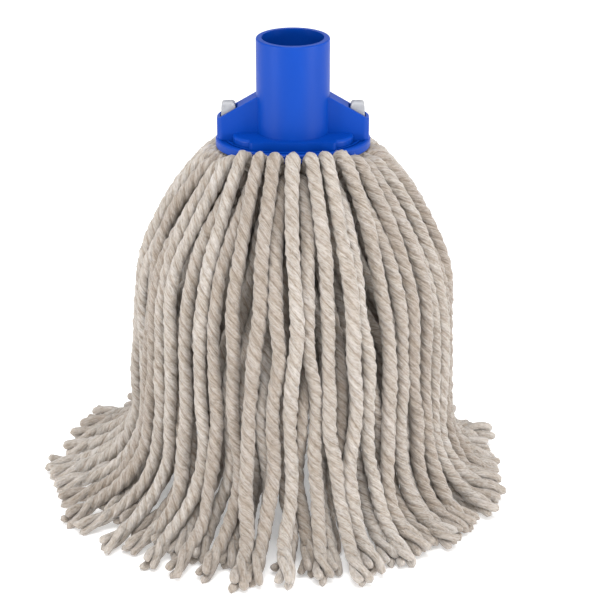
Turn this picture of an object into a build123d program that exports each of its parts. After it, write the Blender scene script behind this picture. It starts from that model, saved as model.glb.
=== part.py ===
from build123d import *
import math
import os

# String mop head that stands on its yarn. Millimetres, +Z up.
# The origin is the centre of the handle socket's mouth, so everything is below Z = 0.
# X runs through the two wings of the socket, and Y from its front (-Y) to its back.

# Overall
stand_height = 188.0            # mouth of the socket down to the floor
floor = -stand_height

# Handle socket: round tube
bore_diameter = 24.0            # for a 15/16 in (23.8 mm) handle
tube_wall = 2.2
tube_diameter = bore_diameter + 2 * tube_wall
plateau_top = -37.0             # the handle stops here
web = 1.8                       # wall between the handle bore and the yarn pocket
rim_round = 0.6

# Handle socket: oval flange with a raised edge, and the plateau on it
flange_rx = 30.0
flange_ry = 23.0
flange_top = -40.4
flange_thickness = 2.0
bead_width = 1.6
bead_rise = 0.8
bead_drop = 0.8
bead_round = 0.7
ridge_inset = 3.6               # thin ridge inside the bead, parallel to it
ridge_width = 0.8
ridge_rise = 0.5
plateau_length = 46.4
plateau_width = 27.0
plateau_corner = 9.0
plateau_round = 1.2
block_length = 33.2             # straight block across the plateau, front and back
block_width = 32.6
block_corner = 1.6
pocket_wall = 1.8
flange_bottom = flange_top - flange_thickness

# Handle socket: the two hollow wings that guide the clamp
wing_reach = 29.4               # from the axis to a wing's outer face
wing_thickness = 8.7
wing_corner = 2.5
wing_edge = 0.4
wing_top_inner = -22.7          # height where the sloping top meets the tube
wing_top_outer = -31.6
slot_inner = 21.4
slot_outer = 28.1
slot_width = 5.6

# Yarn clamp: a U of natural nylon, pushed up from below until its teeth catch
leg_inner = 22.2
leg_outer = 27.6
strap_width = 5.0
clamp_top = -25.0
bar_top = -55.5
bar_height = 4.6
tip_round = 2.2
tooth_pitch = 1.8
tooth_depth = 0.5
tooth_count = 9
first_tooth = -49.0
tooth_slope = 1.45              # height of each tooth's sloping face
tooth_root = 0.25               # height of the flat at the bottom of each notch
pawl_reach = 0.9                # a ridge in each slot that drops between two teeth
pawl_height = 0.85
pawl_tooth = 6.5                # how many teeth up the pawl stands

# Yarn
yarn_diameter = 4.6             # cotton twine pressed to its solid section
end_round = 0.45                # share of the shorter run that each bend may use

# Outer yarn: locks of five legs that swing on the collar
locks = 10
legs_per_lock = 5
collar_rx = 31.0                # where the outermost legs leave the collar
collar_ry = 23.0
collar_height = 141.0           # above the floor
tucked_rx = 28.2                # the legs tucked in behind them
tucked_ry = 20.3
tucked_height = 135.8
leg_seats = (0.0, 0.42, 1.0, 1.58, 2.0)     # place of each leg along its lock's stretch of collar
bell_radius = 61.0              # of the legs' centre lines where the bell is widest
foot_lift = 0.45                # the swinging legs stay this much clear of the floor
mean_reach = 93.0               # of the cut ends on the floor, from the axis
reach_lean = 7.5                # further out on the -X side
reach_change = 3.5

beside_strap = 5.2              # tucked legs pass the clamp this far from its middle

# Packed middles of the yarns: an oval core that widens to an oval skirt
bundle_bottom = 118.0           # above the floor
bundle_waist = 131.0
core_rx = 22.6
core_ry = 14.6
skirt_rx = 33.0
skirt_ry = 28.0
bundle_gap = 0.2                # between the yarn and the walls of its pocket

# Inner yarn: three rings that carry the weight, in six sectors
sectors = 6
ring_counts = (48, 12, 6)
ring_start_rx = (29.5, 18.5, 8.5)
ring_start_ry = (24.5, 13.5, 7.0)
stagger = 5.2                   # every second leg of the fullest ring starts this much further in
ring_radius = (53.0, 40.5, 22.5)
ring_reach = (68.5, 53.2, 35.5)

os.makedirs("parts", exist_ok=True)


def write(piece, name):
    """Label a finished piece and write it as its own node."""
    piece.part.label = name
    export_step(piece.part, f"parts/{name}.step")


# ---------------------------------------------------------------- handle socket
def ring_on_flange(outer_inset, width, low, high):
    """An oval ring that follows the flange's edge, from one height to another."""
    with BuildSketch(Plane.XY.offset(low)) as ring:
        Ellipse(flange_rx - outer_inset, flange_ry - outer_inset)
        Ellipse(flange_rx - outer_inset - width, flange_ry - outer_inset - width, mode=Mode.SUBTRACT)
    extrude(ring.sketch, amount=high - low)


def pawl(side):
    """The ridge on a slot's inner wall that holds the clamp's teeth."""
    low = first_tooth + pawl_tooth * tooth_pitch - pawl_height
    top = low + pawl_height
    root = side * (slot_inner - pawl_reach / 4)
    wall = side * slot_inner
    nose = side * (slot_inner + pawl_reach)
    with BuildSketch(Plane.XZ.offset(-slot_width / 2)) as profile:
        with BuildLine():
            Polyline((root, low), (wall, low), (nose, top), (root, top), close=True)
        make_face()
    extrude(profile.sketch, amount=slot_width)


# both wings: a thick rib with rounded ends, whose top slopes down from the tube
with BuildPart() as wings:
    with BuildSketch(Plane.XY.offset(flange_bottom)):
        RectangleRounded(2 * wing_reach, wing_thickness, wing_corner)
    extrude(amount=wing_top_inner - flange_bottom)
    with BuildSketch(Plane.XZ.offset(-wing_thickness / 2)):
        with BuildLine():
            Polyline(
                (-wing_reach, flange_bottom),
                (wing_reach, flange_bottom),
                (wing_reach, wing_top_outer),
                (tube_diameter / 2, wing_top_inner),
                (-tube_diameter / 2, wing_top_inner),
                (-wing_reach, wing_top_outer),
                close=True,
            )
        make_face()
    extrude(amount=wing_thickness, mode=Mode.INTERSECT)
    top_edges = wings.edges().filter_by_position(Axis.Z, wing_top_outer - 0.01, wing_top_inner + 0.01)
    fillet(top_edges, radius=wing_edge)

with BuildPart() as socket:
    # flange with its raised edge and the thin ridge inside it
    with BuildSketch(Plane.XY.offset(flange_bottom)):
        Ellipse(flange_rx, flange_ry)
    extrude(amount=flange_thickness)
    ring_on_flange(0.0, bead_width, flange_bottom - bead_drop, flange_top + bead_rise)
    bead_edges = socket.edges().filter_by(GeomType.ELLIPSE).group_by(SortBy.LENGTH)[-1]
    fillet(bead_edges, radius=bead_round)
    ring_on_flange(ridge_inset, ridge_width, flange_top - 0.2, flange_top + ridge_rise)
    # plateau: an oval tier and a straight block across it
    with BuildSketch(Plane.XY.offset(flange_bottom)):
        RectangleRounded(plateau_length, plateau_width, plateau_corner)
    extrude(amount=plateau_top - flange_bottom)
    tier_edges = socket.edges().filter_by_position(Axis.Z, plateau_top, plateau_top)
    fillet(tier_edges, radius=plateau_round)
    with BuildSketch(Plane.XY.offset(flange_bottom)):
        RectangleRounded(block_length, block_width, block_corner)
    extrude(amount=plateau_top - flange_bottom)
    add(wings.part)
    # tube
    with BuildSketch(Plane.XY.offset(flange_bottom)):
        Circle(tube_diameter / 2)
    extrude(amount=-flange_bottom)
    # pocket for the folded yarn, open below
    with BuildSketch(Plane.XY.offset(flange_bottom - bead_drop)):
        RectangleRounded(
            plateau_length - 2 * pocket_wall,
            plateau_width - 2 * pocket_wall,
            plateau_corner - pocket_wall,
        )
    extrude(amount=plateau_top - web - flange_bottom + bead_drop, mode=Mode.SUBTRACT)
    # handle bore
    with BuildSketch(Plane.XY.offset(plateau_top)):
        Circle(bore_diameter / 2)
    extrude(amount=-plateau_top, mode=Mode.SUBTRACT)
    # slots through the wings, with a pawl in each
    for side in (-1, 1):
        with BuildSketch(Plane.XY.offset(flange_bottom - 1)):
            with Locations((side * (slot_inner + slot_outer) / 2, 0)):
                Rectangle(slot_outer - slot_inner, slot_width)
        extrude(amount=wing_top_inner - flange_bottom, mode=Mode.SUBTRACT)
    for side in (-1, 1):
        pawl(side)
    rim_edge = socket.edges().filter_by_position(Axis.Z, 0, 0).sort_by(SortBy.LENGTH)[-1]
    fillet(rim_edge, radius=rim_round)
write(socket, "socket")


# ---------------------------------------------------------------- yarn clamp
def clamp_teeth(side):
    """Notches cut up the inner face of one leg of the clamp."""
    face = side * leg_inner
    root = side * (leg_inner + tooth_depth)
    with BuildSketch(Plane.XZ.offset(-strap_width / 2)) as notches:
        for i in range(tooth_count):
            low = first_tooth + i * tooth_pitch
            with BuildLine():
                Polyline(
                    (face, low),
                    (root, low + tooth_slope),
                    (root, low + tooth_slope + tooth_root),
                    (face, low + tooth_slope + tooth_root),
                    close=True,
                )
            make_face()
    extrude(notches.sketch, amount=strap_width, mode=Mode.SUBTRACT)


with BuildPart() as yarn_clamp:
    with BuildSketch(Plane.XY.offset(bar_top - bar_height)):
        Rectangle(2 * leg_outer, strap_width)
    extrude(amount=bar_height)
    for side in (-1, 1):
        with BuildSketch(Plane.XY.offset(bar_top - bar_height)):
            with Locations((side * (leg_inner + leg_outer) / 2, 0)):
                Rectangle(leg_outer - leg_inner, strap_width)
        extrude(amount=clamp_top - bar_top + bar_height)
    tip_edges = yarn_clamp.edges().filter_by_position(Axis.Z, clamp_top, clamp_top)
    fillet(tip_edges, radius=tip_round)
    for side in (-1, 1):
        clamp_teeth(side)
write(yarn_clamp, "yarn_clamp")


# ---------------------------------------------------------------- yarn
def bend_radii(points):
    """The largest bend at each corner of a route that its two runs leave room for."""
    radii = []
    for before, corner, after in zip(points, points[1:], points[2:]):
        run_in = Vector(*corner) - Vector(*before)
        run_out = Vector(*after) - Vector(*corner)
        turn = math.radians(run_in.get_angle(run_out))
        shorter = min(run_in.length, run_out.length)
        radii.append(end_round * shorter / math.tan(turn / 2))
    return radii


def yarn(points):
    """Sweep one length of yarn along its route, into the part being built."""
    with BuildLine() as path:
        FilletPolyline(*points, radius=bend_radii(points))
    route = path.wire()
    with BuildSketch(Plane(origin=route @ 0, z_dir=route % 0)) as section:
        Circle(yarn_diameter / 2)
    sweep(section.sketch, path=route)
    return route.length


def spread(index, step):
    """An even but irregular value between -1 and 1 for each index."""
    return 2 * ((index * step + 0.31) % 1.0) - 1


def arc_angle(share, rx, ry):
    """The parameter angle at a share of the way round an ellipse, by arc length."""
    steps = 720
    lengths = [0.0]
    for i in range(steps):
        middle = 2 * math.pi * (i + 0.5) / steps
        lengths.append(lengths[-1] + math.hypot(rx * math.sin(middle), ry * math.cos(middle)))
    target = (share % 1.0) * lengths[-1]
    i = max(k for k in range(steps) if lengths[k] <= target)
    part = (target - lengths[i]) / (lengths[i + 1] - lengths[i])
    return 2 * math.pi * (i + part) / steps


def outer_route(lock, leg):
    """The route of one leg of an outer lock, from the collar over the bell to the floor."""
    index = lock * legs_per_lock + leg
    tucked = leg % 2 == 1
    angle = math.radians(360 / locks * (lock + (leg + 0.5) / legs_per_lock))
    collar = arc_angle((lock * 3 + leg_seats[leg] + 0.5) / (3 * locks), collar_rx, collar_ry)
    rx, ry = (tucked_rx, tucked_ry) if tucked else (collar_rx, collar_ry)
    start = Vector(rx * math.cos(collar), ry * math.sin(collar))
    if abs(start.Y) < beside_strap and tucked:
        start.Y = math.copysign(beside_strap, start.Y)
    sway = 1.1 * spread(index, 0.618)
    bulge = 0.9 * spread(index, 0.414)
    reach = mean_reach - reach_lean * math.cos(angle) + reach_change * spread(index, 0.732)
    drift = 2.0 * spread(index, 0.271)

    def at(radius, height, side):
        """A point of the route by its radius, its height and a sideways shift."""
        along = Vector(math.cos(angle), math.sin(angle))
        across = Vector(-math.sin(angle), math.cos(angle))
        place = along * radius + across * side
        return (place.X, place.Y, floor + height)

    def between(share, height, side):
        """A point part of the way from the collar to the widest place of the bell."""
        x, y, z = at(bell_radius + bulge, height, side)
        return (start.X + (x - start.X) * share, start.Y + (y - start.Y) * share, z)

    if tucked:
        top = [between(0.0, tucked_height, 0), between(0.25, 130.5, 0), between(0.6, 120.0, 0.3 * sway)]
    else:
        top = [between(0.0, collar_height, 0), between(0.22, 137.5, 0), between(0.57, 125.0, 0.3 * sway)]
    splay = reach - bell_radius
    return top + [
        between(0.9, 103.0, 0.7 * sway),
        at(bell_radius + bulge, 78.0, sway),
        at(bell_radius - 0.6 + bulge, 51.0, 0.4 * sway + 0.3 * drift),
        at(bell_radius + 1.0 + 0.5 * bulge, 29.0, 0.5 * drift),
        at(bell_radius + 0.24 * splay, 13.5, 0.8 * drift),
        at(bell_radius + 0.6 * splay, 5.0, drift),
        at(reach, yarn_diameter / 2 + foot_lift, 1.3 * drift),
    ]


def inner_route(ring, place):
    """The route of one inner leg, from the packed bundle down to the floor."""
    count = ring_counts[ring]
    share = (place + 0.5) / count
    inset = stagger * (place % 2) if ring == 0 else 0.0
    rx = ring_start_rx[ring] - inset
    ry = ring_start_ry[ring] - inset
    start_angle = arc_angle(share, rx, ry)
    start = Vector(rx * math.cos(start_angle), ry * math.sin(start_angle))
    angle = 2 * math.pi * share
    radius = ring_radius[ring]
    along = Vector(math.cos(angle), math.sin(angle))
    across = Vector(-math.sin(angle), math.cos(angle))
    sway = 0.7 * spread(place + 3 * ring, 0.618)

    def at(reach, height, side):
        """A point of the route by its radius, its height and a sideways shift."""
        spot = along * reach + across * side
        return (spot.X, spot.Y, floor + height)

    def between(part, height):
        """A point part of the way from the bundle to the ring."""
        spot = start + (along * radius - start) * part
        return (spot.X, spot.Y, floor + height)

    splay = ring_reach[ring] - radius
    return [
        between(0.0, bundle_bottom),
        between(0.0, bundle_bottom - 10.5),
        between(0.25, bundle_bottom - 21.0),
        between(0.6, 85.0),
        between(0.87, 72.0),
        at(radius, 56.0, sway),
        at(radius - 0.2, 38.0, -0.6 * sway),
        at(radius, 17.0, 0.5 * sway),
        at(radius + 0.2 * splay, 10.0, 0.7 * sway),
        at(radius + 0.5 * splay, 5.6, 0.9 * sway),
        at(ring_reach[ring], yarn_diameter / 2, sway),
    ]


for lock in range(locks):
    for leg in range(legs_per_lock):
        with BuildPart() as outer_yarn:
            points = outer_route(lock, leg)
            length = yarn(points)
        number = lock * legs_per_lock + leg + 1
        tightest = min(bend_radii(points))
        print(f"outer_yarn_{number:02d} length {length:.1f} tightest bend {tightest:.1f}")
        write(outer_yarn, f"outer_yarn_{number:02d}")

for sector in range(sectors):
    with BuildPart() as inner_yarns:
        for ring, count in enumerate(ring_counts):
            each = count // sectors
            for place in range(sector * each, (sector + 1) * each):
                points = inner_route(ring, place)
                length = yarn(points)
                print(f"inner ring {ring} leg {place} length {length:.1f} bend {min(bend_radii(points)):.1f}")
    write(inner_yarns, f"inner_yarns_{sector + 1}")

# the middles of all the yarns, folded over the clamp's bar and packed solid under the socket
def flare(low, high, rx_low, ry_low, rx_high, ry_high):
    """One oval length of the bundle, wider or narrower at its bottom than at its top."""
    with BuildSketch(Plane.XY.offset(low)) as bottom:
        Ellipse(rx_low, ry_low)
    with BuildSketch(Plane.XY.offset(high)) as top:
        Ellipse(rx_high, ry_high)
    loft([bottom.sketch, top.sketch])


with BuildPart() as yarn_bundle:
    with BuildSketch(Plane.XY.offset(flange_bottom - bead_drop)):
        RectangleRounded(
            plateau_length - 2 * (pocket_wall + bundle_gap),
            plateau_width - 2 * (pocket_wall + bundle_gap),
            plateau_corner - pocket_wall,
        )
    extrude(amount=plateau_top - web - flange_bottom + bead_drop)
    flare(floor + bundle_waist, flange_bottom - bead_drop, core_rx, core_ry, core_rx, core_ry)
    flare(floor + bundle_bottom, floor + bundle_waist, skirt_rx, skirt_ry, core_rx, core_ry)
    add(yarn_clamp.part, mode=Mode.SUBTRACT)
write(yarn_bundle, "yarn_bundle")
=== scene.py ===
import math

import bpy
import numpy as np
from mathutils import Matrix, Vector
from mathutils.kdtree import KDTree


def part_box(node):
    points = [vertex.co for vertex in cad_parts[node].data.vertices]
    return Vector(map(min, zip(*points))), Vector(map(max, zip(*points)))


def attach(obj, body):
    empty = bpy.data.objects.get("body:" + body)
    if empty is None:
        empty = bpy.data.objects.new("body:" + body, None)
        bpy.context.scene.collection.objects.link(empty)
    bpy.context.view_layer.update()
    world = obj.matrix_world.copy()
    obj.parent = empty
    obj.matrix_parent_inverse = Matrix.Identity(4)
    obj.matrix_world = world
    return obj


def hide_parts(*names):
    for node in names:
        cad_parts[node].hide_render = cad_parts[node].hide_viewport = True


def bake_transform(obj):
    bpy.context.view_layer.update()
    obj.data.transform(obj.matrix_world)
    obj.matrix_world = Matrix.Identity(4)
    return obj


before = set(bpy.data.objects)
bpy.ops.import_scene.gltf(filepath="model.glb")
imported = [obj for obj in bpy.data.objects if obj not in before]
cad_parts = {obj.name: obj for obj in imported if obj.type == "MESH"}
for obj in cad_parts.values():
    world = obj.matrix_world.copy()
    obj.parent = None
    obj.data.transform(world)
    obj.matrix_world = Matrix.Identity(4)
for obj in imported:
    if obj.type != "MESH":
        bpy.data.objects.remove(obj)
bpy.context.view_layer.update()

# A string mop head standing on its yarn. Metres, in the CAD model's frame: the origin is the
# centre of the handle socket's mouth, +X runs through the wings, and -Y is the front.

MM = 0.001
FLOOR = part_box("inner_yarns_1")[0].z

# The yarn's routes, as in part.py
LOCKS = 10
LEGS_PER_LOCK = 5
COLLAR = (31.0, 23.0, 141.0)            # half-axes of the collar, and height above the floor
TUCKED = (28.2, 20.3, 135.8)            # the same for the legs tucked in behind
LEG_SEATS = (0.0, 0.42, 1.0, 1.58, 2.0)
BESIDE_STRAP = 5.2
BELL_RADIUS = 61.0
FOOT_LIFT = 0.45
MEAN_REACH = 93.0
REACH_LEAN = 7.5
REACH_CHANGE = 3.5
CAD_YARN = 4.6
RING_COUNTS = (48, 12, 6)
RING_START = ((29.5, 24.5), (18.5, 13.5), (8.5, 7.0))
STAGGER = 5.2
RING_RADIUS = (53.0, 40.5, 22.5)
RING_REACH = (68.5, 53.2, 35.5)
SECTORS = 6
BUNDLE_BOTTOM = 118.0

# The yarn itself
YARN = 5.5 * MM                         # loosely twisted cotton twine
PLY_OFFSET = 0.70 * MM                  # from the yarn's centre to the centre of each ply
PLY_RADIUS = 2.06 * MM
PLY_SPLIT = 1.62 * MM                   # radius of a ply that has come loose
ROUGH = 0.13 * MM                       # unevenness of the spun cotton
PLIES = 3
LAY = 17.0 * MM                         # length of one full turn of the plies
SIDES = 18                              # corners round the yarn
RING_STEP = 1.1 * MM
OPEN_END = 19.0 * MM                    # the cut end untwists over this length
PLY_SIDES = 10                          # corners round a loose ply
FIBRE_EVERY = 3.2 * MM                  # a loose fibre for each of these along the yarn
FIBRE_RADIUS = 0.08 * MM
CHAIN = 64                              # points per leg while the yarn settles
ANCHORED = 8                            # points at the top that the clamp holds
SPRING_OUT = (5.0, 9.0, 8.0)            # millimetres by which each inner ring presses outwards
FOOT_OUT = (17.0, 16.0, 12.0)           # and further out again at its feet
FOOT_HEIGHT = 28.0
PUFF = 11.0                             # the middle legs rise this much in front of the flange
PUFF_EDGE = 27.0                        # a leg that starts further out than this doesn't rise
PUFF_FADE = 10.0
SIDEWAYS = 2.0 * MM                     # how far a leg wanders along the bell, and in and out
IN_OUT = 1.0 * MM

# Settling
TOUCHING = 0.95 * YARN                  # yarns press a little closer than their thickness
LYING = 0.47 * YARN                     # and as much into the floor
LOOK_AGAIN = 8                          # rounds between two searches for neighbours
STRAIGHTEN = 0.22                       # share of each bend that a round takes out
STAY_HOME = 0.02                        # pull back to the route in each round

MIDDLE_COLUMNS = 8                      # the folded middles over the clamp's bar
MIDDLE_LAYERS = 4
MIDDLE_PITCH = 5.0 * MM
MIDDLE_LENGTH = 28.0 * MM
BAR_HEIGHT = 4.6 * MM

rng = np.random.default_rng(7)


# ---------------------------------------------------------------- camera
def make_camera():
    """A long lens in front of the mop, looking down at it."""
    data = bpy.data.cameras.new("camera")
    data.lens = 122.0
    data.sensor_width = 36.0
    camera = bpy.data.objects.new("camera", data)
    bpy.context.scene.collection.objects.link(camera)
    camera.location = (0.0027, -0.75, FLOOR + 0.4005)
    camera.rotation_euler = (math.radians(90 - 23.2), 0, 0)
    bpy.context.scene.camera = camera


make_camera()


# ---------------------------------------------------------------- routes
def spread(index, step):
    """An even but irregular value between -1 and 1 for each index."""
    return 2 * ((index * step + 0.31) % 1.0) - 1


def arc_angle(share, rx, ry):
    """The parameter angle at a share of the way round an ellipse, by arc length."""
    steps = 720
    middles = 2 * math.pi * (np.arange(steps) + 0.5) / steps
    pieces = np.hypot(rx * np.sin(middles), ry * np.cos(middles))
    lengths = np.concatenate(([0.0], np.cumsum(pieces)))
    place = float(np.interp((share % 1.0) * lengths[-1], lengths, np.arange(steps + 1)))
    return 2 * math.pi * place / steps


def outer_route(lock, leg):
    """The route of one leg of an outer lock, from the collar over the bell to the floor."""
    index = lock * LEGS_PER_LOCK + leg
    tucked = leg % 2 == 1
    angle = math.radians(360 / LOCKS * (lock + (leg + 0.5) / LEGS_PER_LOCK))
    collar = arc_angle((lock * 3 + LEG_SEATS[leg] + 0.5) / (3 * LOCKS), COLLAR[0], COLLAR[1])
    rx, ry, top_height = TUCKED if tucked else COLLAR
    start = np.array((rx * math.cos(collar), ry * math.sin(collar)))
    if abs(start[1]) < BESIDE_STRAP and tucked:
        start[1] = math.copysign(BESIDE_STRAP, start[1])
    sway = 1.1 * spread(index, 0.618)
    bulge = 0.9 * spread(index, 0.414)
    reach = MEAN_REACH - REACH_LEAN * math.cos(angle) + REACH_CHANGE * spread(index, 0.732)
    drift = 2.0 * spread(index, 0.271)
    along = np.array((math.cos(angle), math.sin(angle)))
    across = np.array((-math.sin(angle), math.cos(angle)))

    def at(radius, height, side):
        """A point of the route by its radius, its height and a sideways shift."""
        return (*(along * radius + across * side), height)

    def between(share, height, side):
        """A point part of the way from the collar to the widest place of the bell."""
        widest = along * (BELL_RADIUS + bulge) + across * side
        return (*(start + (widest - start) * share), height)

    if tucked:
        top = [between(0.0, top_height, 0), between(0.25, 130.5, 0), between(0.6, 120.0, 0.3 * sway)]
    else:
        top = [between(0.0, top_height, 0), between(0.22, 137.5, 0), between(0.57, 125.0, 0.3 * sway)]
    splay = reach - BELL_RADIUS
    return top + [
        between(0.9, 103.0, 0.7 * sway),
        at(BELL_RADIUS + bulge, 78.0, sway),
        at(BELL_RADIUS - 0.6 + bulge, 51.0, 0.4 * sway + 0.3 * drift),
        at(BELL_RADIUS + 1.0 + 0.5 * bulge, 29.0, 0.5 * drift),
        at(BELL_RADIUS + 0.24 * splay, 13.5, 0.8 * drift),
        at(BELL_RADIUS + 0.6 * splay, 5.0, drift),
        at(reach, CAD_YARN / 2 + FOOT_LIFT, 1.3 * drift),
    ]


def inner_route(ring, place):
    """The route of one inner leg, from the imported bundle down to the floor."""
    inset = STAGGER * (place % 2) if ring == 0 else 0.0
    rx, ry = RING_START[ring][0] - inset, RING_START[ring][1] - inset
    share = (place + 0.5) / RING_COUNTS[ring]
    start_angle = arc_angle(share, rx, ry)
    start = np.array((rx * math.cos(start_angle), ry * math.sin(start_angle)))
    angle = 2 * math.pi * share
    radius = RING_RADIUS[ring]
    along = np.array((math.cos(angle), math.sin(angle)))
    across = np.array((-math.sin(angle), math.cos(angle)))
    sway = 0.7 * spread(place + 3 * ring, 0.618)
    splay = RING_REACH[ring] - radius

    def at(reach, height, side):
        """A point of the route by its radius, its height and a sideways shift."""
        return (*(along * reach + across * side), height)

    def between(part, height):
        """A point part of the way from the bundle to the ring."""
        return (*(start + (along * radius - start) * part), height)

    return [
        between(0.0, BUNDLE_BOTTOM),
        between(0.0, BUNDLE_BOTTOM - 10.5),
        between(0.25, BUNDLE_BOTTOM - 21.0),
        between(0.6, 85.0),
        between(0.87, 72.0),
        at(radius, 56.0, sway),
        at(radius - 0.2, 38.0, -0.6 * sway),
        at(radius, 17.0, 0.5 * sway),
        at(radius + 0.2 * splay, 10.0, 0.7 * sway),
        at(radius + 0.5 * splay, 5.6, 0.9 * sway),
        at(RING_REACH[ring], CAD_YARN / 2, sway),
    ]


def puffed(route, tucked):
    """The same route, raised in front of the flange where the yarn bunches up."""
    x = route[0][0]
    amount = PUFF * np.clip((PUFF_EDGE - abs(x)) / PUFF_FADE, 0, 1)
    first, second, third = (np.array(point) for point in route[:3])
    lifted = first + (second - first) * (0.35 if tucked else 0.5)
    lifted[2] = first[2] + amount * (0.35 if tucked else 0.95)
    second = second + (third - second) * 0.15
    second[2] += amount * 0.55
    return [route[0], tuple(lifted), tuple(second)] + route[2:]


def under_collar(start, tucked):
    """Points that carry an outer leg from the collar inwards, to where the clamp holds it."""
    x, y, height = start
    points = []
    for share, rise in ((0.45, -3.5 if tucked else -1.0), (0.72, -1.0 if tucked else 1.5)):
        px, py = x * share, y * share
        if abs(py) < BESIDE_STRAP:
            py = math.copysign(BESIDE_STRAP, py)
        points.append((px, py, height + rise))
    return points


def smooth_line(points):
    """The smooth line through a route, as a NURBS spline with the route's points gives it."""
    data = bpy.data.curves.new("route", "CURVE")
    data.dimensions = "3D"
    data.resolution_u = 14
    spline = data.splines.new("NURBS")
    spline.points.add(len(points) - 1)
    for point, (x, y, height) in zip(spline.points, points):
        point.co = (x * MM, y * MM, FLOOR + height * MM, 1)
    spline.order_u = 3
    spline.use_endpoint_u = True
    carrier = bpy.data.objects.new("route", data)
    bpy.context.scene.collection.objects.link(carrier)
    bpy.context.view_layer.update()
    mesh = bpy.data.meshes.new_from_object(carrier.evaluated_get(bpy.context.evaluated_depsgraph_get()))
    line = np.array([v.co for v in mesh.vertices], float)
    bpy.data.meshes.remove(mesh)
    bpy.data.objects.remove(carrier)
    bpy.data.curves.remove(data)
    return line


def resampled(line, count):
    """The same line with a number of evenly spaced points."""
    steps = np.linalg.norm(np.diff(line, axis=0), axis=1)
    place = np.concatenate(([0.0], np.cumsum(steps)))
    wanted = np.linspace(0, place[-1], count)
    return np.stack([np.interp(wanted, place, line[:, i]) for i in range(3)], axis=1)


# ---------------------------------------------------------------- settling
def wander(reach, amount):
    """A slow random wave along a leg, still at its top."""
    along = np.linspace(0, 1, CHAIN)
    wave = np.zeros(CHAIN)
    for turns, share in ((1.1, 1.0), (2.3, 0.6), (4.1, 0.4), (7.5, 0.22)):
        wave += share * np.sin(2 * math.pi * (turns * along * rng.uniform(0.8, 1.2) + rng.uniform()))
    return amount * wave * np.clip((along - 0.12) / reach, 0, 1)


def settle(chains, rounds=72):
    """Let the legs press against each other and lie on the floor, each held to its length."""
    legs, count, _ = chains.shape
    points = chains.copy()
    home = chains.copy()
    low = FLOOR + LYING
    owner = np.repeat(np.arange(legs), count)
    rest = np.linalg.norm(np.diff(chains, axis=1), axis=2)
    held = np.ones(count)
    held[:ANCHORED] = 0.0
    for step in range(rounds):
        flat = points.reshape(-1, 3)
        if step % LOOK_AGAIN == 0:
            tree = KDTree(len(flat))
            for i, p in enumerate(flat):
                tree.insert(p, i)
            tree.balance()
            found = []
            for i, p in enumerate(flat):
                for _, j, _ in tree.find_range(p, TOUCHING * 1.7):
                    if j > i and owner[j] != owner[i]:
                        found.append((i, j))
            pairs = np.array(found)
        a, b = pairs[:, 0], pairs[:, 1]
        apart = flat[b] - flat[a]
        distance = np.linalg.norm(apart, axis=1) + 1e-9
        push = np.clip(TOUCHING - distance, 0, None) * 0.5
        move = apart / distance[:, None] * push[:, None]
        shift = np.zeros_like(flat)
        hits = np.zeros(len(flat))
        np.add.at(shift, b, move)
        np.add.at(shift, a, -move)
        np.add.at(hits, b, push > 0)
        np.add.at(hits, a, push > 0)
        shift /= np.clip(hits, 1, None)[:, None] ** 0.5
        points = points + shift.reshape(points.shape) * held[None, :, None]
        middle = (points[:, :-2] + points[:, 2:]) / 2
        points[:, 1:-1] += STRAIGHTEN * (middle - points[:, 1:-1]) * held[None, 1:-1, None]
        points += STAY_HOME * (home - points) * held[None, :, None]
        for start in (0, 1, 0, 1):
            left, right = points[:, start:-1:2], points[:, start + 1::2]
            size = min(left.shape[1], right.shape[1])
            left, right = left[:, :size], right[:, :size]
            span = right - left
            long = np.linalg.norm(span, axis=2, keepdims=True) + 1e-9
            fix = span * (1 - rest[:, start::2][:, :size, None] / long) * 0.5
            weight_left = held[start:-1:2][:size][None, :, None]
            weight_right = held[start + 1::2][:size][None, :, None]
            points[:, start:-1:2][:, :size] += fix * weight_left
            points[:, start + 1::2][:, :size] -= fix * weight_right
        points[:, :, 2] = np.maximum(points[:, :, 2], low)
    return points


# ---------------------------------------------------------------- yarn mesh
def turning_frames(line):
    """Two directions across a line, at each of its points, that don't twist about it."""
    ahead = np.gradient(line, axis=0)
    ahead /= np.linalg.norm(ahead, axis=1, keepdims=True)
    side = np.cross(ahead[0], (0.3, 0.9, 0.1))
    sides = []
    for direction in ahead:
        side = side - direction * (side @ direction)
        side = side / np.linalg.norm(side)
        sides.append(side)
    sides = np.array(sides)
    return sides, np.cross(ahead, sides)


def across_line(side, up, turn, reach):
    """Offsets from the points of a line, round it by angle and distance."""
    return (
        side[:, None] * (np.cos(turn) * reach)[:, :, None]
        + up[:, None] * (np.sin(turn) * reach)[:, :, None]
    )


def fibre_place(angle, radius, along):
    """Where each corner of a tube lies in the fibre pattern: round the tube, and along it."""
    shape = (len(along), len(angle))
    return np.stack([
        np.broadcast_to(np.cos(angle) * radius, shape),
        np.broadcast_to(np.sin(angle) * radius, shape),
        np.broadcast_to(along[:, None], shape),
    ], axis=2)


def lobed_radius(angle):
    """Distance from the yarn's centre to its surface, at an angle from its first ply."""
    third = 2 * math.pi / PLIES
    local = (angle + third / 2) % third - third / 2
    return PLY_OFFSET * np.cos(local) + np.sqrt(PLY_RADIUS ** 2 - (PLY_OFFSET * np.sin(local)) ** 2)


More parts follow.
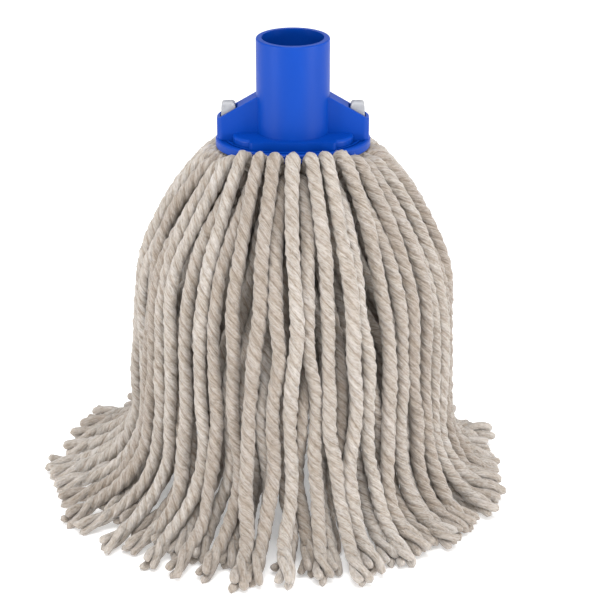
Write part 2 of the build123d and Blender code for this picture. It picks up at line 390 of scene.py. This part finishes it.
class MeshParts:
    """Corners, faces and the yarn attributes of one mesh, gathered piece by piece."""

    def __init__(self):
        self.corners, self.faces, self.coords, self.shades = [], [], [], []
        self.count = 0

    def tube(self, rings, coords, shade):
        """Add a closed tube from its rings of corners."""
        steps, sides, _ = rings.shape
        base = self.count
        self.corners.append(rings.reshape(-1, 3))
        self.coords.append(coords.reshape(-1, 3))
        self.shades.append(shade.reshape(-1))
        i = np.arange(steps - 1)[:, None] * sides
        j = np.arange(sides)[None, :]
        k = (j + 1) % sides
        quads = np.stack([i + j, i + k, i + sides + k, i + sides + j], axis=2).reshape(-1, 4) + base
        self.faces.extend(quads.tolist())
        last = base + (steps - 1) * sides
        self.faces.append(list(range(base + sides - 1, base - 1, -1)))
        self.faces.append(list(range(last, last + sides)))
        self.count += steps * sides

    def finish(self, name, tone):
        """Make the object, with the attributes that its material reads."""
        mesh = bpy.data.meshes.new(name)
        mesh.from_pydata(np.concatenate(self.corners).tolist(), [], self.faces)
        coords = np.concatenate(self.coords).astype(np.float32)
        shades = np.concatenate(self.shades).astype(np.float32)
        place = mesh.attributes.new("yarn_place", "FLOAT_VECTOR", "POINT")
        place.data.foreach_set("vector", coords.ravel())
        groove = mesh.attributes.new("yarn_groove", "FLOAT", "POINT")
        groove.data.foreach_set("value", shades)
        own = mesh.attributes.new("yarn_tone", "FLOAT", "POINT")
        own.data.foreach_set("value", np.full(len(shades), tone, np.float32))
        mesh.polygons.foreach_set("use_smooth", np.ones(len(mesh.polygons), bool))
        mesh.validate()
        mesh.update()
        piece = bpy.data.objects.new(name, mesh)
        bpy.context.scene.collection.objects.link(piece)
        return piece


def yarn_piece(name, chain, tone):
    """A length of three-ply twine along a line, whose cut end has come untwisted."""
    length = float(np.linalg.norm(np.diff(chain, axis=0), axis=1).sum())
    line = resampled(chain, max(12, int(length / RING_STEP)))
    for _ in range(3):
        line[1:-1] = (line[:-2] + 2 * line[1:-1] + line[2:]) / 4
    count = len(line)
    side, up = turning_frames(line)
    along = np.linspace(0, length, count)
    phase = rng.uniform(0, 2 * math.pi)
    lay = LAY * rng.uniform(0.92, 1.1)
    swell = 1 + 0.045 * np.sin(along / 0.013 + phase * 3) + 0.03 * np.sin(along / 0.0047 + phase * 7)
    swell *= rng.uniform(0.95, 1.06)
    step = length / (count - 1)
    opening = np.clip((along - (length - OPEN_END)) / OPEN_END, 0, 1)
    twist = phase - 2 * math.pi * np.cumsum((1 - 0.75 * opening) / lay) * step
    body = int(count - 0.62 * OPEN_END / step)
    parts = MeshParts()
    angle = np.linspace(0, 2 * math.pi, SIDES, endpoint=False)
    radius = lobed_radius(angle)
    depth = (radius - radius.min()) / (radius.max() - radius.min())
    turn = angle[None, :] + twist[:body, None]
    reach = radius[None, :] * swell[:body, None] + ROUGH * rng.normal(size=turn.shape)
    rings = line[:body, None] + across_line(side[:body], up[:body], turn, reach)
    place = fibre_place(angle, YARN / 2, along[:body])
    parts.tube(rings, place + rng.uniform(0, 1, 3), np.broadcast_to(depth, turn.shape))
    open_plies(parts, line, side, up, along, twist, opening, swell, body)
    add_fibres(parts, line, side, up, length)
    return parts.finish(name, tone), line, length


def open_plies(parts, line, side, up, along, twist, opening, swell, body):
    """The plies of a cut end, drifting apart and rounded off."""
    first = max(0, body - 4)
    angle = np.linspace(0, 2 * math.pi, PLY_SIDES, endpoint=False)
    for ply in range(PLIES):
        away = rng.uniform(0.9, 1.9)
        cut = len(line) - int(rng.uniform(0, 1.9)) * (ply > 0)
        rows = np.arange(first, cut)
        part = opening[rows]
        offset = PLY_OFFSET + (0.35 + 1.15 * away * part ** 1.5) * MM
        about = twist[rows] + 2 * math.pi * ply / PLIES
        centre = line[rows] + across_line(side[rows], up[rows], about[:, None], offset[:, None])[:, 0]
        lumps = 0.06 * np.sin(along[rows] / 0.0016 + ply * 2)
        size = PLY_SPLIT * swell[rows] * (0.97 + 0.16 * part + lumps)
        left = (len(rows) - 1 - np.arange(len(rows))) * (along[1] - along[0])
        tip = np.clip(left / (1.2 * PLY_SPLIT), 0, 1)
        size = size * np.sqrt(np.clip(1 - (1 - tip) ** 2, 0.02, 1))
        centre[:, 2] = np.maximum(centre[:, 2], FLOOR + 0.9 * size)
        rings = centre[:, None] + across_line(side[rows], up[rows], angle[None, :], size[:, None])
        rings[:, :, 2] = np.maximum(rings[:, :, 2], FLOOR)
        place = fibre_place(angle, PLY_RADIUS, along[rows])
        parts.tube(rings, place + rng.uniform(0, 1, 3), np.full(place.shape[:2], 0.8))


def add_fibres(parts, line, side, up, length):
    """Fine loose fibres that stand off the yarn."""
    angle = np.linspace(0, 2 * math.pi, 3, endpoint=False)
    taper = FIBRE_RADIUS * np.array((1.0, 1.0, 0.9, 0.7, 0.3))
    share = np.linspace(0, 1, len(taper))
    for _ in range(int(length / FIBRE_EVERY)):
        row = int(rng.integers(8, len(line) - 3))
        about = rng.uniform(0, 2 * math.pi)
        out = side[row] * math.cos(about) + up[row] * math.sin(about)
        round_it = -side[row] * math.sin(about) + up[row] * math.cos(about)
        run = line[row + 1] - line[row - 1]
        run /= np.linalg.norm(run)
        long = rng.uniform(0.0012, 0.0036)
        lean = rng.uniform(-1.0, 1.0)
        heading = run * rng.choice((-1, 1)) + round_it * lean
        heading /= np.linalg.norm(heading)
        lift = rng.uniform(0.0003, 0.0010)
        centre = (
            line[row]
            + out * (0.46 * YARN + lift * np.sin(math.pi * share * rng.uniform(0.5, 1.0)))[:, None]
            + heading * (long * share)[:, None]
        )
        centre[:, 2] = np.maximum(centre[:, 2], FLOOR + 0.0001)
        rings = centre[:, None] + across_line(out[None], round_it[None], angle[None, :], taper[:, None])
        place = np.zeros(rings.shape) + rng.uniform(0, 1, 3)
        parts.tube(rings, place, np.ones(rings.shape[:2]))


# ---------------------------------------------------------------- materials
def nodes_of(name):
    """A new node material, its node tree's node maker and linker, and its shader."""
    material = bpy.data.materials.new(name)
    material.use_nodes = True
    tree = material.node_tree
    return material, tree.nodes, tree.links, tree.nodes["Principled BSDF"]


def ramp(nodes, links, value, stops):
    """The colour of a value, from (position, colour) stops."""
    node = nodes.new("ShaderNodeValToRGB")
    elements = node.color_ramp.elements
    while len(elements) < len(stops):
        elements.new(0.5)
    for element, (position, colour) in zip(elements, stops):
        element.position = position
        element.color = (*colour, 1)
    links.new(value, node.inputs["Fac"])
    return node.outputs["Color"]


def noise(nodes, links, vector, scale, detail=3.0, rough=0.5):
    """The value of a noise texture on a vector output."""
    node = nodes.new("ShaderNodeTexNoise")
    node.inputs["Scale"].default_value = scale
    node.inputs["Detail"].default_value = detail
    node.inputs["Roughness"].default_value = rough
    links.new(vector, node.inputs["Vector"])
    return node.outputs["Fac"]


def stretched(nodes, links, vector, scale):
    """A vector scaled differently along each axis."""
    node = nodes.new("ShaderNodeMapping")
    node.inputs["Scale"].default_value = scale
    links.new(vector, node.inputs["Vector"])
    return node.outputs["Vector"]


def multiplied(nodes, links, strength, first, second):
    """One colour multiplied by another, in part."""
    node = nodes.new("ShaderNodeMix")
    node.data_type = "RGBA"
    node.blend_type = "MULTIPLY"
    node.inputs[0].default_value = strength
    links.new(first, node.inputs[6])
    links.new(second, node.inputs[7])
    return node.outputs[2]


def attribute(nodes, name):
    """A node that reads one of the yarn's attributes."""
    node = nodes.new("ShaderNodeAttribute")
    node.attribute_name = name
    return node


def bumped(nodes, links, height, strength, distance, shader):
    """Give a shader a bump of its own from a height."""
    node = nodes.new("ShaderNodeBump")
    node.inputs["Strength"].default_value = strength
    node.inputs["Distance"].default_value = distance
    links.new(height, node.inputs["Height"])
    links.new(node.outputs["Normal"], shader.inputs["Normal"])


def cotton_material():
    """Unbleached cotton: fibre streaks along the plies, painted shade in the grooves and uneven tone."""
    material, nodes, links, shader = nodes_of("cotton_yarn")
    place = attribute(nodes, "yarn_place").outputs["Vector"]
    groove = attribute(nodes, "yarn_groove")
    tone = attribute(nodes, "yarn_tone")
    streaks = noise(nodes, links, stretched(nodes, links, place, (1, 1, 0.11)), 1500, 4, 0.65)
    tufts = noise(nodes, links, stretched(nodes, links, place, (1, 1, 0.6)), 1150, 3, 0.6)
    blotches = noise(nodes, links, stretched(nodes, links, place, (1, 1, 0.5)), 330, 3, 0.55)
    slow = noise(nodes, links, place, 45, 2, 0.5)
    own = ramp(nodes, links, tone.outputs["Fac"], (
        (0.0, (0.43, 0.39, 0.358)), (0.5, (0.535, 0.506, 0.483)), (1.0, (0.605, 0.585, 0.572)),
    ))
    fibre = ramp(nodes, links, streaks, ((0.30, (0.52, 0.47, 0.42)), (0.68, (1.04, 1.04, 1.04))))
    tuft = ramp(nodes, links, tufts, (
        (0.34, (0.60, 0.55, 0.49)), (0.52, (0.95, 0.94, 0.93)), (0.7, (1.10, 1.10, 1.11)),
    ))
    patch = ramp(nodes, links, blotches, ((0.32, (0.80, 0.75, 0.68)), (0.66, (1.0, 1.0, 1.0))))
    drift = ramp(nodes, links, slow, ((0.3, (0.90, 0.87, 0.83)), (0.7, (1.04, 1.03, 1.02))))
    # painted shade: the colour darkens towards the grooves between the plies, where shade falls
    painted_groove_shade = ramp(nodes, links, groove.outputs["Fac"], (
        (0.0, (0.72, 0.66, 0.60)), (0.4, (0.94, 0.93, 0.91)), (1.0, (1.0, 1.0, 1.0)),
    ))
    colour = own
    for strength, layer in ((0.6, fibre), (0.75, tuft), (0.7, patch), (1.0, drift), (1.0, painted_groove_shade)):
        colour = multiplied(nodes, links, strength, colour, layer)
    links.new(colour, shader.inputs["Base Color"])
    height = nodes.new("ShaderNodeMath")
    height.operation = "MULTIPLY_ADD"
    links.new(tufts, height.inputs[0])
    height.inputs[1].default_value = 1.6
    links.new(streaks, height.inputs[2])
    bumped(nodes, links, height.outputs["Value"], 0.9, 0.0006, shader)
    shader.inputs["Roughness"].default_value = 0.92
    shader.inputs["Specular IOR Level"].default_value = 0.25
    shader.inputs["Sheen Weight"].default_value = 0.3
    shader.inputs["Subsurface Weight"].default_value = 0.12
    shader.inputs["Subsurface Radius"].default_value = (0.0022, 0.0016, 0.0011)
    shader.inputs["Subsurface Scale"].default_value = 1.0
    shader.inputs["Sheen Roughness"].default_value = 0.55
    return material


def blue_material():
    """Blue polypropylene with a soft moulded gloss and faint rubbing."""
    material, nodes, links, shader = nodes_of("blue_plastic")
    where = nodes.new("ShaderNodeTexCoord").outputs["Object"]
    flow = noise(nodes, links, stretched(nodes, links, where, (1, 1, 0.35)), 60, 3, 0.5)
    grain = noise(nodes, links, where, 2400, 2, 0.5)
    rubs = noise(nodes, links, stretched(nodes, links, where, (1, 1, 0.12)), 900, 3, 0.6)
    tint = ramp(nodes, links, flow, ((0.3, (0.0, 0.041, 0.30)), (0.7, (0.0, 0.048, 0.34))))
    links.new(tint, shader.inputs["Base Color"])
    gloss = ramp(nodes, links, rubs, ((0.35, (0.36, 0.36, 0.36)), (0.75, (0.46, 0.46, 0.46))))
    links.new(gloss, shader.inputs["Roughness"])
    bumped(nodes, links, grain, 0.12, 0.0001, shader)
    shader.inputs["IOR"].default_value = 1.49
    shader.inputs["Specular IOR Level"].default_value = 0.16
    return material


def nylon_material():
    """Natural nylon: milky, lets light through, with faint cloudiness."""
    material, nodes, links, shader = nodes_of("natural_nylon")
    where = nodes.new("ShaderNodeTexCoord").outputs["Object"]
    cloud = noise(nodes, links, where, 350, 3, 0.5)
    tint = ramp(nodes, links, cloud, ((0.3, (0.27, 0.275, 0.29)), (0.7, (0.33, 0.335, 0.35))))
    links.new(tint, shader.inputs["Base Color"])
    bumped(nodes, links, noise(nodes, links, where, 1800, 2, 0.5), 0.15, 0.0001, shader)
    shader.inputs["Roughness"].default_value = 0.42
    shader.inputs["Subsurface Weight"].default_value = 0.3
    shader.inputs["Subsurface Radius"].default_value = (0.002, 0.002, 0.002)
    shader.inputs["Subsurface Scale"].default_value = 1.0
    return material


cotton = cotton_material()
blue = blue_material()
nylon = nylon_material()


def paint(piece, material):
    """Give a piece or a CAD node one material."""
    piece.data.materials.clear()
    piece.data.materials.append(material)


paint(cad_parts["socket"], blue)
paint(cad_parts["yarn_clamp"], nylon)


# ---------------------------------------------------------------- the legs
def leg_plan():
    """Every leg of yarn: its name, the CAD node it stands for, its body and its line."""
    plan = []
    for lock in range(LOCKS):
        for leg in range(LEGS_PER_LOCK):
            route = outer_route(lock, leg)
            tucked = leg % 2 == 1
            route = under_collar(route[0], tucked) + puffed(route, tucked)
            number = lock * LEGS_PER_LOCK + leg + 1
            plan.append((f"yarn_{number:02d}", f"outer_yarn_{number:02d}", f"lock_{lock + 1:02d}", route))
    number = 0
    for ring, count in enumerate(RING_COUNTS):
        for place in range(count):
            route = inner_route(ring, place)
            x, y, height = route[0]
            top = [(x * 0.45, y * 0.45, height + 17.0), (x * 0.72, y * 0.72, height + 9.0)]
            number += 1
            sector = place // (count // SECTORS) + 1
            plan.append((f"inner_yarn_{number:02d}", f"inner_yarns_{sector}", "head", top + route))
    return plan


plan = leg_plan()
chains = np.array([resampled(smooth_line(route), CHAIN) for _, _, _, route in plan])
ring_of = [None] * (LOCKS * LEGS_PER_LOCK)
ring_of += [ring for ring, count in enumerate(RING_COUNTS) for _ in range(count)]
for chain, ring in zip(chains, ring_of):
    flat_out = chain[:, :2] / (np.linalg.norm(chain[:, :2], axis=1, keepdims=True) + 1e-9)
    sideways = np.stack([-flat_out[:, 1], flat_out[:, 0]], axis=1)
    chain[:, :2] += sideways * wander(0.3, SIDEWAYS)[:, None]
    chain[:, :2] += flat_out * wander(0.3, IN_OUT)[:, None]
    if ring is not None:
        belly = np.sin(math.pi * np.clip((chain[:, 2] - FLOOR) / (120 * MM), 0, 1)) ** 0.6
        foot = np.clip(1 - (chain[:, 2] - FLOOR) / (FOOT_HEIGHT * MM), 0, 1) ** 1.5
        chain[:, :2] += flat_out * ((belly * SPRING_OUT[ring] + foot * FOOT_OUT[ring]) * MM)[:, None]
chains = settle(chains)

swinging = []
for (name, node, body, _), chain in zip(plan, chains):
    piece, line, length = yarn_piece(name, chain, rng.uniform(0.1, 0.95))
    paint(piece, cotton)
    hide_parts(node)
    if body == "head":
        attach(piece, "head")
    else:
        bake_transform(piece)
        swinging.append((piece, line, length))

swinging.sort(key=lambda leg: -float(np.linalg.norm(leg[1][-1][:2])))


# ---------------------------------------------------------------- the folded middles
def folded_middles():
    """The middles of the yarns, looped over the clamp's bar under the socket."""
    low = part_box("yarn_clamp")[0].z + BAR_HEIGHT + 0.5 * YARN
    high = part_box("yarn_bundle")[1].z - 0.5 * YARN
    parts = MeshParts()
    angle = np.linspace(0, 2 * math.pi, SIDES, endpoint=False)
    radius = lobed_radius(angle)
    depth = (radius - radius.min()) / (radius.max() - radius.min())
    bend = np.linspace(-1, 1, 26)
    along = np.linspace(0, MIDDLE_LENGTH, len(bend))
    for column in range(MIDDLE_COLUMNS):
        for layer in range(MIDDLE_LAYERS):
            x = (column - (MIDDLE_COLUMNS - 1) / 2) * MIDDLE_PITCH
            share = layer / (MIDDLE_LAYERS - 1)
            z = low + (high - low) * share
            wide = (9.0 + 1.5 * share) * MM
            drop = (6.0 + 5.0 * share) * MM
            line = np.stack([
                x * (1 + 0.04 * np.abs(bend)),
                wide * np.sin(bend * math.pi / 2) * 1.05,
                z - drop * (1 - np.cos(bend * math.pi / 2)) + rng.uniform(-0.2, 0.2) * MM,
            ], axis=1)
            side, up = turning_frames(line)
            turn = angle[None, :] + (rng.uniform(0, 6) - 2 * math.pi * along / LAY)[:, None]
            rings = line[:, None] + across_line(side, up, turn, radius[None, :])
            place = fibre_place(angle, YARN / 2, along)
            parts.tube(rings, place + rng.uniform(0, 1, 3), np.broadcast_to(depth, turn.shape))
    piece = parts.finish("yarn_middles", 0.5)
    paint(piece, cotton)
    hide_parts("yarn_bundle")
    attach(piece, "head")


folded_middles()


# ---------------------------------------------------------------- floor and light
def make_floor():
    """A plain white floor, lit as evenly as a studio sweep."""
    far = 6.0
    corners = [(-far, -far, FLOOR), (far, -far, FLOOR), (far, far, FLOOR), (-far, far, FLOOR)]
    mesh = bpy.data.meshes.new("floor")
    mesh.from_pydata(corners, [], [(0, 1, 2, 3)])
    floor = bpy.data.objects.new("floor", mesh)
    bpy.context.scene.collection.objects.link(floor)
    material, _, _, shader = nodes_of("floor")
    shader.inputs["Base Color"].default_value = (0.92, 0.92, 0.92, 1)
    shader.inputs["Roughness"].default_value = 0.8
    shader.inputs["Specular IOR Level"].default_value = 0.1
    shader.inputs["Emission Color"].default_value = (1, 1, 1, 1)
    shader.inputs["Emission Strength"].default_value = 0.32
    floor.data.materials.append(material)


def soft_light(name, azimuth, elevation, distance, size, power):
    """A square soft box that points at the middle of the mop."""
    data = bpy.data.lights.new(name, "AREA")
    data.size = size
    data.energy = power
    light = bpy.data.objects.new(name, data)
    bpy.context.scene.collection.objects.link(light)
    a, e = math.radians(azimuth), math.radians(elevation)
    middle = Vector((0, 0, FLOOR / 2))
    away = Vector((math.sin(a) * math.cos(e), -math.cos(a) * math.cos(e), math.sin(e)))
    light.location = middle + away * distance
    light.rotation_mode = "QUATERNION"
    light.rotation_quaternion = away.to_track_quat("Z", "Y")


def make_light():
    """White surroundings, a soft box on each side of the camera and one overhead."""
    world = bpy.data.worlds.new("studio")
    world.use_nodes = True
    world.node_tree.nodes["Background"].inputs["Color"].default_value = (1, 1, 1, 1)
    world.node_tree.nodes["Background"].inputs["Strength"].default_value = 0.74
    bpy.context.scene.world = world
    soft_light("left_box", -58, 5, 1.3, 0.32, 8)
    soft_light("right_box", 58, 5, 1.3, 0.32, 9)
    soft_light("overhead", 0, 66, 1.4, 0.8, 15)
    bpy.context.scene.view_settings.view_transform = "Standard"


make_floor()
make_light()
